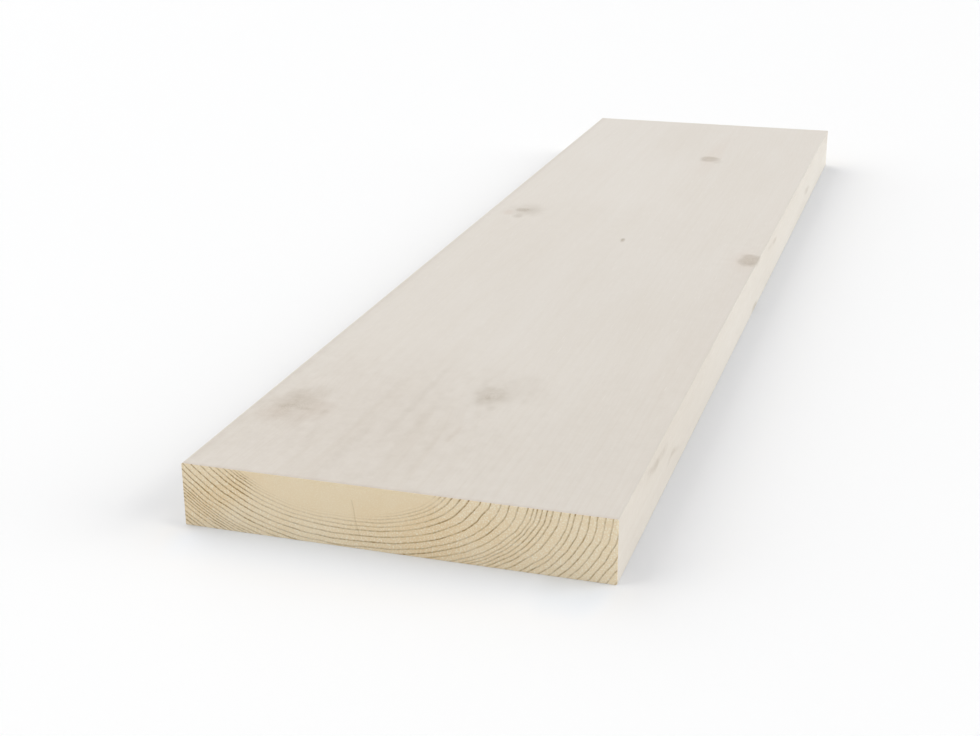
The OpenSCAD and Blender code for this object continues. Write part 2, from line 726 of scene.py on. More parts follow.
@dataclass
class Skin:
    """Vertices and faces of one closed mesh, gathered patch by patch. Sizes are in millimetres."""

    points: list[np.ndarray] = field(default_factory=list)
    inward: list[np.ndarray] = field(default_factory=list)
    sides: list[np.ndarray] = field(default_factory=list)
    faces: list[list[int]] = field(default_factory=list)
    places: list[np.ndarray] = field(default_factory=list)
    slots: list[np.ndarray] = field(default_factory=list)
    total: int = 0

    def add_points(self, points: np.ndarray, inward: np.ndarray, sides: np.ndarray) -> np.ndarray:
        """Adds vertices on the plank's flat sides.

        Args:
            points: one row for each vertex.
            inward: the way that relief sinks each vertex, and shorter where it is sheltered.
            sides: the number of each vertex's side.

        Returns:
            The index of each.
        """
        self.points.append(points)
        self.inward.append(inward)
        self.sides.append(sides)
        self.total += len(points)
        return np.arange(self.total - len(points), self.total)

    def add_faces(self, corners: np.ndarray, places: np.ndarray, slots: np.ndarray) -> None:
        """Adds faces that all have the same number of corners.

        Args:
            corners: the vertex indices, one row for each face.
            places: where each corner lies on the flat map.
            slots: the material slot of each face.
        """
        self.faces.extend(corners.tolist())
        self.places.append(places.reshape(-1, 2))
        self.slots.append(slots)


@dataclass(frozen=True)
class Loop:
    """One loop of vertices round the section: their indices, how far round each is, and where they lie."""

    ids: np.ndarray
    rounds: np.ndarray
    along: float


@dataclass
class Plank:
    """The plank, as one skin of faces with its relief and its finishes. Sizes are in millimetres.

    A cell is the spacing of vertices at one kind of place. A blot whose half width is under fine_blot gets
    blot_rows or more of them across that half, and any blot gets up to blot_stations along its half length.
    Relief fades out within sheltered of an arris.
    """

    timber: Timber
    faces: WhiteStainedSpruce
    edges: WhiteStainedSpruce
    ends: SawnSpruceEnd
    arris: float = 0.5
    end_ease: float = 0.08
    end_cell: float = 0.52
    far_end_cell: float = 0.9
    check_cell: float = 0.16
    blot_cell: float = 1.05
    hidden_cell: float = 1.6
    face_cell: float = 2.0
    edge_cell: float = 1.8
    plain_cell: float = 5.0
    growth_share: float = 0.3
    fine_blot: float = 12.0
    blot_rows: float = 2.0
    blot_stations: float = 8.0
    sheltered: float = 5.0
    ring_hollow: float = 0.07
    saw_mark: float = 0.03
    sawing: LatticeNoise = LatticeNoise(31, (50.0, 30.0, 1.4))
    knot_rise: float = 0.06
    knot_gain: float = 3.0
    planing_wave: float = 0.02
    planing: LatticeNoise = LatticeNoise(21, (60.0, 14.0, 14.0))
    sharp_angle: float = 40.0
    map_margin: float = 2.0
    margin_count: int = 6
    end_map_scale: float = 2.0

    def side_length(self, side: Side) -> float:
        """Length of a side of the section."""
        return self.timber.width if side in WIDE_SIDES else self.timber.thickness

    def graded(
        self, start: float, end: float, features: list[tuple[float, float, float]], coarse: float
    ) -> np.ndarray:
        """Spaces out places along a line, close together at its features.

        Args:
            start: where the line starts.
            end: where it ends.
            features: the first place, last place and spacing of each feature.
            coarse: the widest spacing.

        Returns:
            Rising places from start to end.
        """
        places = [start]
        while places[-1] < end:
            here = places[-1]
            gaps = [max(first - here, here - last, 0.0) for first, last, _ in features]
            steps = [fine + self.growth_share * gap for gap, (_, _, fine) in zip(gaps, features)]
            places.append(here + min([coarse, *steps]))
        rising = np.array(places)
        return start + (rising - start) * (end - start) / (rising[-1] - start)

    def outline(self, side: Side, place: np.ndarray) -> tuple[np.ndarray, np.ndarray]:
        """Points on the section's outline, with its corners eased to arcs.

        Args:
            side: a side of the section.
            place: distance along the side from its middle, counted to the sharp corner.

        Returns:
            The points and the outward normals, as rows of (0, y, z).
        """
        along, outward = {
            Side.LOWER: ((0, 1, 0), (0, 0, -1)),
            Side.LEFT: ((0, 0, 1), (0, 1, 0)),
            Side.UPPER: ((0, -1, 0), (0, 0, 1)),
            Side.RIGHT: ((0, 0, -1), (0, -1, 0)),
        }[side]
        along, outward = np.array(along, float), np.array(outward, float)
        flat = self.side_length(side) / 2 - self.arris
        other = (self.timber.width + self.timber.thickness - self.side_length(side)) / 2
        turn = np.clip((np.abs(place) - flat) / self.arris, 0.0, 1.0) * math.pi / 4
        reach = np.sign(place) * (np.minimum(np.abs(place), flat) + self.arris * np.sin(turn))
        lift = other - self.arris * (1.0 - np.cos(turn))
        centre = np.array((0.0, 0.0, self.timber.thickness / 2))
        points = centre + reach[:, None] * along + lift[:, None] * outward
        normals = (np.sign(place) * np.sin(turn))[:, None] * along + np.cos(turn)[:, None] * outward
        return points, normals

    def section_loop(self, places: dict[Side, np.ndarray]) -> tuple[np.ndarray, np.ndarray, np.ndarray]:
        """Joins the four sides' points into one loop.

        Args:
            places: the places along each side, from its first corner to its last.

        Returns:
            The points, the normals, and how far round each is, in sides.
        """
        points, normals, rounds = [], [], []
        for index, side in enumerate(SECTION):
            at = places[side][:-1]
            side_points, side_normals = self.outline(side, at)
            points.append(side_points)
            normals.append(side_normals)
            rounds.append(index + at / self.side_length(side) + 0.5)
        return np.concatenate(points), np.concatenate(normals), np.concatenate(rounds)

    def build(self) -> bpy.types.Object:
        """Builds the plank's mesh and dresses it.

        Returns:
            The plank as a Blender object.
        """
        skin = Skin()
        coarse = {side: self.side_places(side) for side in SECTION}
        near_rim, near_loop = self.add_end(skin, Side.NEAR_END)
        far_rim, far_loop = self.add_end(skin, Side.FAR_END)
        loops = [near_rim, near_loop]
        loops.extend(self.add_loop(skin, coarse, place) for place in self.stations())
        loops.extend([far_loop, far_rim])
        for index, (lower, upper) in enumerate(zip(loops, loops[1:])):
            self.join_loops(skin, lower, upper, at_end=index in (0, len(loops) - 2))
        return self.dress(skin)

    def end_lines(self, side: Side) -> tuple[np.ndarray, np.ndarray]:
        """Spaces out the grid lines of a sawn end, close together at its check.

        Args:
            side: which end.

        Returns:
            The lines across from the right edge, and up from the lower face.
        """
        timber = self.timber
        cell = self.end_cell if side is Side.NEAR_END else self.far_end_cell
        features = [(0.0, timber.width, cell)]
        for crack in (crack for crack in timber.cracks if crack.side is side):
            middles = [timber.width - across for across, _ in crack.points]
            features.append((min(middles) - self.check_cell, max(middles) + self.check_cell, self.check_cell))
        across = self.graded(self.arris, timber.width - self.arris, features, cell)
        up = self.graded(self.arris, timber.thickness - self.arris, features[:1], cell)
        across = np.concatenate([[0.0], across, [timber.width]])
        up = np.concatenate([[0.0], up, [timber.thickness]])
        return across, up

    def side_places(self, side: Side) -> np.ndarray:
        """Spaces out places along one side of the section, close together at its knots.

        Args:
            side: a side of the section.

        Returns:
            Rising places from one corner to the next, counted from the side's middle.
        """
        length = self.side_length(side)
        flat = length / 2 - self.arris
        way = 1 if side in (Side.UPPER, Side.RIGHT) else -1
        features = []
        for blot in (blot for blot in self.timber.blots if blot.side is side):
            if blot.half_across < self.fine_blot:
                middle = way * (blot.across - length / 2)
                shown_cell = min(self.blot_cell, blot.half_across / self.blot_rows)
                cell = self.hidden_cell if side in HIDDEN else shown_cell
                features.append((middle - blot.half_across, middle + blot.half_across, cell))
        coarse = self.face_cell if side in WIDE_SIDES else self.edge_cell
        steps = self.graded(-flat, flat, features, coarse)
        corner = np.array([length / 2, length / 2 - self.arris / 2])
        return np.concatenate([-corner, steps, corner[::-1]])

    def stations(self) -> np.ndarray:
        """Spaces out the sections along the plank, close together at its knots and ends.

        Returns:
            Rising places along the plank, counted from its middle.
        """
        half = self.timber.length / 2
        features = [(-half, -half, self.blot_cell), (half, half, self.blot_cell)]
        for blot in (blot for blot in self.timber.blots if blot.side not in ENDS):
            first, last = blot.along - blot.half_along - half, blot.along + blot.half_along - half
            cell = max(self.blot_cell, blot.half_along / self.blot_stations)
            features.append((first, last, min(self.plain_cell, cell)))
        # The first and last sections stand two cells of the end's grid in from its rim
        reach = half - 2 * self.end_cell
        return self.graded(-reach, reach, features, self.plain_cell)

    def add_loop(self, skin: Skin, places: dict[Side, np.ndarray], along: float) -> Loop:
        """Adds one loop of vertices round the section.

        Args:
            skin: the mesh so far.
            places: the places along each side of the section.
            along: where the loop is along the plank.

        Returns:
            The loop.
        """
        points, normals, rounds = self.section_loop(places)
        points = points + np.array((along, 0.0, 0.0))
        sides = np.floor(rounds).astype(int)
        lengths = np.array([self.side_length(side) for side in SECTION])[sides]
        from_corner = (0.5 - np.abs(rounds - sides - 0.5)) * lengths
        open_share = smooth_step(from_corner, self.arris, self.sheltered)
        return Loop(skin.add_points(points, -normals * open_share[:, None], sides), rounds, along)

    def add_end(self, skin: Skin, side: Side) -> tuple[Loop, Loop]:
        """Adds one sawn end as a grid of faces, with a first loop round the section to ease its rim.

        Args:
            skin: the mesh so far.
            side: which end.

        Returns:
            The loop of the grid's rim, and the loop round the section.
        """
        timber = self.timber
        near = side is Side.NEAR_END
        across, up = self.end_lines(side)
        fine = {wide: across - timber.width / 2 for wide in WIDE_SIDES}
        fine |= {edge: up - timber.thickness / 2 for edge in (Side.LEFT, Side.RIGHT)}
        fine[Side.UPPER] = -fine[Side.UPPER][::-1]
        fine[Side.RIGHT] = -fine[Side.RIGHT][::-1]
        columns, rows = len(across), len(up)
        outward = -1.0 if near else 1.0
        points = np.zeros((columns, rows, 3))
        points[..., 0] = outward * timber.length / 2
        points[..., 1], points[..., 2] = np.meshgrid(across - timber.width / 2, up, indexing="ij")
        index = np.arange(columns * rows).reshape(columns, rows)
        rim = np.concatenate([index[:-1, 0], index[-1, :-1], index[:0:-1, -1], index[0, :0:-1]])
        points = points.reshape(-1, 3)
        edge_points, edge_normals, rounds = self.section_loop(fine)
        points[rim, 1:] = (edge_points - self.end_ease * edge_normals)[:, 1:]
        inward = np.tile((-outward, 0.0, 0.0), (len(points), 1))
        inward[rim] = 0.0
        ids = skin.add_points(points, inward, np.full(len(points), ALL_SIDES.index(side)))
        grid = ids.reshape(columns, rows)
        flat_map = self.end_map(side, across, up)
        corners, places = (
            np.stack([g[:-1, :-1], g[1:, :-1], g[1:, 1:], g[:-1, 1:]], axis=2) for g in (grid, flat_map)
        )
        corners, places = corners.reshape(-1, 4), places.reshape(-1, 4, 2)
        if near:
            corners, places = corners[:, ::-1], places[:, ::-1]
        skin.add_faces(corners, places, np.full(len(corners), Finish.END.value))
        end = outward * timber.length / 2
        return Loop(ids[rim], rounds, end), self.add_loop(skin, fine, end - outward * self.end_ease)

    def map_across(self, along: np.ndarray) -> np.ndarray:
        """Place across the flat map, for a distance along the plank."""
        return (along + self.map_margin) / (self.timber.length + 2 * self.map_margin)

    def map_height(self) -> float:
        """Height of the flat map, with its margins."""
        rows = 2 * self.timber.width + (2 + self.end_map_scale) * self.timber.thickness
        return rows + self.margin_count * self.map_margin

    def side_map(self, along: np.ndarray, rounds: np.ndarray, side_index: np.ndarray) -> np.ndarray:
        """Places on the flat map for points on the four long sides.

        Args:
            along: distance from the checked end.
            rounds: how far round the section, in sides.
            side_index: which of the four sides the face is on.

        Returns:
            Map places from 0 to 1, with one more axis of two.
        """
        lengths = np.array([self.side_length(side) for side in SECTION])
        starts = np.cumsum(lengths + self.map_margin) - lengths
        up = starts[side_index] + (rounds - side_index) * lengths[side_index]
        return np.stack([self.map_across(along), up / self.map_height()], axis=-1)

    def end_map(self, side: Side, across: np.ndarray, up: np.ndarray) -> np.ndarray:
        """Places on the flat map for a grid on one end, beside the other end and larger than the sides.

        Args:
            side: which end.
            across: the grid lines across the end.
            up: the grid lines up the end.

        Returns:
            Map places from 0 to 1, for each column and row.
        """
        timber = self.timber
        start = 0.0 if side is Side.NEAR_END else timber.length / 2
        stretch = timber.length / (2 * timber.width + self.map_margin)
        map_up = 1.0 - (self.map_margin / 2 + self.end_map_scale * up) / self.map_height()
        map_along = self.map_across(start + across * stretch)
        return np.stack(np.meshgrid(map_along, map_up, indexing="ij"), axis=-1)

    def join_loops(self, skin: Skin, lower: Loop, upper: Loop, at_end: bool) -> None:
        """Joins two neighbouring loops with triangles, stepping round whichever is behind.

        Args:
            skin: the mesh so far.
            lower: the loop nearer the checked end.
            upper: the next loop.
            at_end: whether the faces belong to a sawn end.
        """
        low_ids, up_ids = (np.append(loop.ids, loop.ids[0]) for loop in (lower, upper))
        low_round, up_round = (np.append(loop.rounds, len(SECTION)) for loop in (lower, upper))
        corners, rounds, along = [], [], []
        low, up = 0, 0
        low_last, up_last = len(low_ids) - 1, len(up_ids) - 1
        while low < low_last or up < up_last:
            next_low = low_round[low + 1] if low < low_last else math.inf
            next_up = up_round[up + 1] if up < up_last else math.inf
            if next_low <= next_up:
                corners.append((low_ids[low], low_ids[low + 1], up_ids[up]))
                rounds.append((low_round[low], low_round[low + 1], up_round[up]))
                along.append((lower.along, lower.along, upper.along))
                low += 1
            else:
                corners.append((low_ids[low], up_ids[up + 1], up_ids[up]))
                rounds.append((low_round[low], up_round[up + 1], up_round[up]))
                along.append((lower.along, upper.along, upper.along))
                up += 1
        rounds = np.array(rounds)
        side_index = np.floor(rounds.mean(axis=1)).astype(int)
        wide = np.array([side in WIDE_SIDES for side in SECTION])[side_index]
        slots = np.where(wide, Finish.FACE.value, Finish.EDGE.value)
        slots = np.full_like(slots, Finish.END.value) if at_end else slots
        places = self.side_map(np.array(along) + self.timber.length / 2, rounds, side_index[:, None])
        skin.add_faces(np.array(corners), places, slots)

    def relief(self, points: np.ndarray, side: Side, wood: dict[str, np.ndarray]) -> np.ndarray:
        """How deep each point lies under its flat side.

        A planed face is very slightly wavy, and its knots have dried less and stand proud. On a sawn end the
        early wood is a little lower than the late wood, and the saw has left faint lines.

        Args:
            points: places in millimetres in the plank's frame.
            side: the side they are on.
            wood: what the timber says of them.

        Returns:
            The depth in millimetres, never below zero.
        """
        if side not in ENDS:
            wave = self.planing.at(points)
            knot = np.clip(self.knot_gain * wood["brown"], 0.0, 1.0)
            return self.planing_wave * (1.0 + wave) + self.knot_rise * (1.0 - knot) + wood["sunk"]
        age = wood["ring_age"]
        phase = age - np.floor(age)
        back = (1.0 - phase) * wood["ring_width"]
        late = smooth_step(back, self.ends.late_width, self.ends.late_core)
        late *= smooth_step(back, 0.0, self.ends.late_stop) * smooth_step(phase, *self.ends.late_spare)
        late *= smooth_step(age, self.ends.first_ring, self.ends.clear_ring)
        saw = self.sawing.at(points)
        return self.ring_hollow * (1.0 - late) + self.saw_mark * (1.0 + saw) + wood["sunk"]

    def dress(self, skin: Skin) -> bpy.types.Object:
        """Sinks the relief, makes the mesh, writes the wood's values on it and gives it its finishes.

        Args:
            skin: the finished skin.

        Returns:
            The plank as a Blender object.
        """
        points, inward, sides = (np.concatenate(part) for part in (skin.points, skin.inward, skin.sides))
        depth = np.zeros(len(points))
        names = ("ring_age", "ring_width", "branch", "brown", "flush", "crack")
        values = {name: np.zeros(len(points)) for name in names}
        values["grain"] = points.copy()
        for index, side in enumerate(ALL_SIDES):
            mine = sides == index
            wood = self.timber.read(points[mine], side)
            depth[mine] = self.relief(points[mine], side, wood)
            for name in values:
                values[name][mine] = wood[name]
        mesh = bpy.data.meshes.new("planed_plank")
        mesh.from_pydata(((points + inward * depth[:, None]) * MM).tolist(), [], skin.faces)
        for finish in (self.faces, self.edges, self.ends):
            mesh.materials.append(finish.material())
        mesh.polygons.foreach_set("material_index", np.concatenate(skin.slots).astype(np.int32))
        mesh.polygons.foreach_set("use_smooth", np.ones(len(mesh.polygons), bool))
        mesh.set_sharp_from_angle(angle=math.radians(self.sharp_angle))
        flat_map = mesh.uv_layers.new(name="OFBake")
        flat_map.data.foreach_set("uv", np.concatenate(skin.places).astype(np.float32).ravel())
        for name, value in values.items():
            kind, key = ("FLOAT_VECTOR", "vector") if value.ndim == 2 else ("FLOAT", "value")
            attribute = mesh.attributes.new(name, kind, "POINT")
            attribute.data.foreach_set(key, value.astype(np.float32).ravel())
        mesh.update()
        plank = bpy.data.objects.new("planed_plank", mesh)
        bpy.context.scene.collection.objects.link(plank)
        return plank


@dataclass(frozen=True)
class PaintedPaperShadow:
    """A patch of painted shadow: a place where the paper is drawn in another tint, which fades out over its
    reach.

    The corners are shares of the plank's foot, counted from its middle. The reaches, along and across, are in
    metres.
    """

    tint: str
    low: tuple[float, float]
    high: tuple[float, float]
    reach: tuple[float, float]

    def share(self, add: Callable, place: bpy.types.NodeSocket) -> bpy.types.NodeSocket:
        """Finds how much of the painted shadow shows.

        Args:
            add: adds a node to the material.
            place: where on the floor.

        Returns:
            1 between the corners, falling to 0 at the end of the reach.
        """
        foot = (CAD_BOX[1] - CAD_BOX[0]) / 2
        low, high = ((corner[0] * foot.x, corner[1] * foot.y, 0.0) for corner in (self.low, self.high))
        before = add("VectorMath", [low, place], operation="SUBTRACT")
        after = add("VectorMath", [place, high], operation="SUBTRACT")
        beyond = add("VectorMath", [before, after], operation="MAXIMUM")
        beyond = add("VectorMath", [beyond, (0.0, 0.0, 0.0)], operation="MAXIMUM")
        rates = (1 / self.reach[0], 1 / self.reach[1], 1.0)
        beyond = add("VectorMath", [beyond, rates], operation="MULTIPLY")
        away = add("VectorMath", [beyond], output="Value", operation="LENGTH")
        return add("MapRange", [away, 1.0, 0.0], interpolation_type="SMOOTHSTEP")


@dataclass(frozen=True)
class PaperFloor:
    """A matt white paper floor under the plank. half is its reach each way from the middle, in metres.

    Close to the plank a shadow is painted on the paper, a little darker beside its edges and cooler before
    its ends, because the photograph's shadow holds less of the light that the plank throws back. The painted
    shadows
    lie over each other in their order: before the ends, before the right corner, and then wide and narrow
    beside the left edge and beside the right one. Paper is rough and hardly shines, so the eye sees only the
    soft shadow on it.
    """

    half: float = 60.0
    paper: str = "#F9F9F9"
    roughness: float = 0.9
    specular: float = 0.1
    # Painted shadow on the paper round the plank's foot: darker beside the edges, cooler before the ends
    painted_shadows: tuple[PaintedPaperShadow, ...] = (
        PaintedPaperShadow("#F3F8FF", (-1.0, -0.9), (1.0, 0.9), (0.03, 0.012)),
        PaintedPaperShadow("#EDF1F6", (-1.0, -0.88), (-1.0, -0.76), (0.03, 0.01)),
        PaintedPaperShadow("#E2E3E5", (-0.948, 1.0), (0.948, 1.0), (0.024, 0.034)),
        PaintedPaperShadow("#E2E3E5", (-0.995, 1.0), (0.995, 1.0), (0.006, 0.012)),
        PaintedPaperShadow("#F9FAFC", (-0.95, -1.0), (0.95, 0.0), (0.02, 0.03)),
        PaintedPaperShadow("#EBEDF0", (-0.95, -1.0), (0.95, 0.0), (0.02, 0.012)),
    )

    def colour(self, add: Callable) -> bpy.types.NodeSocket:
        """Lays the painted shadows over the paper.

        Args:
            add: adds a node to the material.

        Returns:
            The colour.
        """
        place = add("NewGeometry")
        colour = linear(self.paper)
        # Mix each painted shadow over the paper's white
        for painted_shadow in self.painted_shadows:
            share = painted_shadow.share(add, place)
            tones = {MIX_SHARE: share, MIX_UNDER: colour, MIX_OVER: linear(painted_shadow.tint)}
            colour = add("Mix", tones, output=MIX_COLOUR, data_type="RGBA")
        return colour

    def build(self) -> None:
        """Lays the floor."""
        h = self.half
        mesh = bpy.data.meshes.new("paper_floor")
        mesh.from_pydata([(-h, -h, 0), (h, -h, 0), (h, h, 0), (-h, h, 0)], [], [(0, 1, 2, 3)])
        material, tree, shader = new_material("matt_white_paper")
        tree.links.new(self.colour(partial(add_node, tree)), shader.inputs["Base Color"])
        shader.inputs["Roughness"].default_value = self.roughness
        shader.inputs["Specular IOR Level"].default_value = self.specular
        mesh.materials.append(material)
        floor = bpy.data.objects.new("paper_floor", mesh)
        bpy.context.scene.collection.objects.link(floor)


@dataclass(frozen=True)
class SoftLamp:
    """One far, wide and soft studio lamp. Angles are in degrees: azimuth from +X towards +Y."""

    name: str
    azimuth: float
    elevation: float
    spread: float
    strength: float
    tint: str = "#FFFDF8"

    def build(self) -> None:
        """Hangs the lamp."""
        lamp = bpy.data.lights.new(self.name, "SUN")
        lamp.angle = math.radians(self.spread)
        lamp.energy = self.strength
        lamp.color = linear(self.tint)[:3]
        turn, rise = math.radians(self.azimuth), math.radians(self.elevation)
        toward = Vector((math.cos(rise) * math.cos(turn), math.cos(rise) * math.sin(turn), math.sin(rise)))
        holder = bpy.data.objects.new(self.name, lamp)
        holder.location = toward
        holder.rotation_euler = toward.to_track_quat("Z", "Y").to_euler()
        bpy.context.scene.collection.objects.link(holder)


@dataclass(frozen=True)
class Studio:
    """Floor, soft light from all round with two soft lamps, and the camera of the photograph.

    The lens and its sensor are in millimetres, the camera's place is in metres and its angles are in degrees.
    """

    sky: float = 0.56
    sky_tint: str = "#F8FAFF"
    lamps: tuple[SoftLamp, ...] = (
        SoftLamp("left_lamp", 82.0, 15.0, 111.0, 2.79),
        SoftLamp("right_lamp", -73.0, 24.0, 45.0, 1.41),
    )
    lens: float = 58.129
    sensor: float = 36.0
    nearest: float = 0.01
    place: tuple[float, float, float] = (-0.70773, -0.16379, 0.22872)
    yaw: float = 17.455
    pitch: float = -20.391
    roll: float = -0.277

    def build(self) -> None:
        """Sets up floor, light and camera."""
        PaperFloor().build()
        for lamp in self.lamps:
            lamp.build()
        world = bpy.data.worlds.new("white_studio")
        world.use_nodes = True
        background = next(node for node in world.node_tree.nodes if node.type == "BACKGROUND")
        background.inputs["Color"].default_value = linear(self.sky_tint)
        background.inputs["Strength"].default_value = self.sky
        scene = bpy.context.scene
        scene.world = world
        scene.view_settings.view_transform = "Standard"
        self.add_camera()

    def add_camera(self) -> None:
        """Adds the camera where the photograph was taken from."""
        yaw, pitch, roll = (math.radians(angle) for angle in (self.yaw, self.pitch, self.roll))
        forward = Vector((math.cos(pitch) * math.cos(yaw), math.cos(pitch) * math.sin(yaw), math.sin(pitch)))
        level = forward.cross(Vector((0, 0, 1))).normalized()
        upright = level.cross(forward)
        right = math.cos(roll) * level + math.sin(roll) * upright
        up = math.cos(roll) * upright - math.sin(roll) * level
        lens = bpy.data.cameras.new("photo_camera")
        lens.lens = self.lens
        lens.sensor_width = self.sensor
        lens.clip_start = self.nearest
        camera = bpy.data.objects.new("photo_camera", lens)
        turn = Matrix((right, up, -forward)).transposed()
        camera.matrix_world = Matrix.Translation(self.place) @ turn.to_4x4()
        bpy.context.scene.collection.objects.link(camera)
        bpy.context.scene.camera = camera


# Knots of the upper face and the right edge, and where their branches would come out on the other sides
KNOTS = (
    Blot(Side.UPPER, 55.5, 15.0, 14.5, 11.5, brown=0.08, flush=0.03, soft=0.45, push=1.2),
    Blot(Side.UPPER, 68.5, 15.5, 9.5, 7.0, brown=0.08, soft=0.5),
    Blot(Side.UPPER, 57.0, 13.5, 7.0, 6.0, brown=0.06, soft=0.6),
    Blot(Side.UPPER, 48.5, 10.5, 6.0, 5.5, brown=0.035, flush=0.045, soft=0.6),
    Blot(Side.UPPER, 56.0, 24.0, 9.0, 5.0, brown=0.025, flush=0.04, soft=0.6),
    Blot(Side.UPPER, 55.2, 10.9, 1.5, 1.3, brown=0.1, soft=0.6, pit=0.06),
    Blot(Side.UPPER, 57.0, 13.8, 1.7, 2.2, brown=0.11, soft=0.6, pit=0.08),
    Blot(Side.UPPER, 55.4, 19.2, 1.3, 3.2, brown=0.14, soft=0.6, pit=0.08, turn=6.0),
    Blot(Side.UPPER, 53.9, 27.0, 2.0, 1.4, brown=0.1, soft=0.7),
    Blot(Side.UPPER, 64.8, 13.2, 2.4, 1.7, brown=0.06, soft=0.8),
    Blot(Side.UPPER, 85.5, 78.5, 12.0, 8.0, brown=0.08, soft=0.7, push=1.4, turn=-10.0),
    Blot(Side.UPPER, 84.2, 77.8, 8.5, 4.4, brown=0.13, soft=0.65, turn=-8.0),
    Blot(Side.UPPER, 83.4, 78.2, 1.2, 1.1, brown=0.14, soft=0.7, pit=0.1),
    Blot(Side.UPPER, 92.0, 73.0, 3.5, 2.2, brown=0.03, soft=0.6),
    Blot(Side.UPPER, 95.0, 84.0, 13.0, 9.5, brown=0.06, soft=0.6),
    Blot(Side.UPPER, 341.0, 18.0, 11.5, 8.2, brown=0.115, soft=0.5, push=1.2),
    Blot(Side.UPPER, 339.0, 20.5, 7.0, 4.2, brown=0.12, soft=0.6),
    Blot(Side.UPPER, 340.0, 15.7, 3.2, 3.4, brown=0.22, soft=0.5, pit=0.1),
    Blot(Side.UPPER, 328.5, 17.0, 4.0, 2.2, brown=0.18, soft=0.6),
    Blot(Side.UPPER, 333.5, 10.5, 4.5, 2.6, flush=0.1, soft=0.7),
    Blot(Side.UPPER, 299.2, 77.8, 3.2, 0.95, brown=0.36, soft=0.5, pit=0.2, push=0.5, turn=-6.0),
    Blot(Side.UPPER, 300.2, 77.6, 1.6, 0.9, brown=0.12, soft=0.6),
    Blot(Side.UPPER, 282.5, 141.4, 9.0, 5.0, brown=0.3, soft=0.25, push=1.0, power=2.5),
    Blot(Side.UPPER, 275.0, 143.2, 4.0, 1.8, brown=0.16, soft=0.4),
    Blot(Side.UPPER, 281.0, 138.5, 17.0, 6.0, flush=0.055, soft=0.6),
    Blot(Side.UPPER, 481.8, 87.4, 6.0, 5.2, brown=0.32, soft=0.32, push=1.0, power=2.3),
    Blot(Side.UPPER, 475.0, 93.0, 4.0, 2.6, brown=0.11, soft=0.6),
    Blot(Side.UPPER, 490.0, 88.5, 46.0, 4.2, flush=0.06, soft=0.7),
    Blot(Side.RIGHT, 58.0, 5.4, 14.0, 1.7, brown=0.14, soft=0.5, push=0.5, turn=4.0),
    Blot(Side.RIGHT, 55.5, 5.6, 4.0, 1.2, brown=0.14, soft=0.7),
    Blot(Side.RIGHT, 45.0, 3.4, 6.0, 0.9, brown=0.1, soft=0.7, turn=14.0),
    Blot(Side.RIGHT, 78.0, 14.0, 3.5, 0.9, brown=0.12, soft=0.7, turn=-4.0),
    Blot(Side.RIGHT, 84.5, 13.2, 4.0, 1.1, brown=0.18, soft=0.7, push=0.5, turn=6.0),
    Blot(Side.RIGHT, 91.0, 14.8, 5.0, 0.9, brown=0.13, soft=0.7, turn=12.0),
    Blot(Side.RIGHT, 282.5, 0.0, 8.0, 1.8, brown=0.2, soft=0.5),
    Blot(Side.RIGHT, 277.0, 20.3, 6.5, 1.2, brown=0.34, soft=0.6, push=0.4),
    Blot(Side.RIGHT, 340.5, 6.1, 6.5, 1.2, brown=0.2, soft=0.6, push=0.5, turn=5.0),
    Blot(Side.RIGHT, 325.0, 4.6, 9.0, 1.0, brown=0.12, soft=0.7, turn=5.0),
    Blot(Side.RIGHT, 475.6, 13.0, 11.0, 1.5, brown=0.23, soft=0.6, push=0.5, turn=5.0),
    Blot(Side.LEFT, 57.0, 8.0, 12.0, 5.0, brown=0.14, soft=0.4, push=0.8),
    Blot(Side.LEFT, 56.0, 7.5, 4.0, 2.2, brown=0.16, soft=0.6, pit=0.1),
    Blot(Side.LEFT, 339.0, 9.5, 9.0, 4.4, brown=0.16, soft=0.4, push=0.8),
    Blot(Side.LEFT, 340.0, 9.5, 3.0, 1.8, brown=0.16, soft=0.6, pit=0.1),
    Blot(Side.LOWER, 86.0, 97.0, 10.0, 8.0, brown=0.14, soft=0.35, push=1.4),
    Blot(Side.LOWER, 85.0, 97.5, 3.5, 3.0, brown=0.2, soft=0.6, pit=0.15),
    Blot(Side.LOWER, 301.0, 90.0, 4.5, 2.2, brown=0.36, soft=0.45, pit=0.2, push=0.5),
    Blot(Side.LOWER, 485.0, 105.0, 8.0, 6.5, brown=0.26, soft=0.35, push=1.2),
    Blot(Side.LOWER, 283.0, 24.0, 8.5, 6.5, brown=0.14, soft=0.4, push=1.2),
    Blot(Side.LOWER, 283.5, 24.0, 3.0, 2.6, brown=0.2, soft=0.6, pit=0.1),
)
# Places where the stain was wiped thin, and bands darker along the rims of the upper face and both edges
THIN_PLACES_AND_DARK_RIMS = (
    Blot(Side.UPPER, 25.0, 34.0, 70.0, 40.0, brown=0.125, flush=0.03, soft=0.85),
    Blot(Side.UPPER, 0.0, 125.0, 80.0, 52.0, brown=0.09, soft=0.9),
    Blot(Side.UPPER, 140.0, 62.0, 150.0, 100.0, brown=0.075, soft=0.9),
    Blot(Side.UPPER, 60.0, 0.0, 110.0, 16.0, brown=0.04, soft=0.8),
    Blot(Side.UPPER, 290.0, 0.0, 900.0, 2.4, brown=0.1, soft=0.8),
    Blot(Side.LEFT, 290.0, 0.0, 900.0, 1.2, brown=0.3, soft=0.6),
    Blot(Side.UPPER, 215.0, 145.0, 80.0, 13.0, brown=0.04, flush=0.02, soft=0.8),
    Blot(Side.UPPER, 0.0, 72.0, 1.4, 300.0, brown=0.08, flush=0.04, soft=0.6),
    Blot(Side.RIGHT, 40.0, 11.0, 160.0, 30.0, brown=0.09, flush=0.03, soft=0.9),
    Blot(Side.RIGHT, 290.0, -4.0, 900.0, 12.0, brown=0.09, soft=0.9),
    Blot(Side.RIGHT, 575.0, 3.0, 30.0, 7.0, brown=0.06, soft=0.8),
)
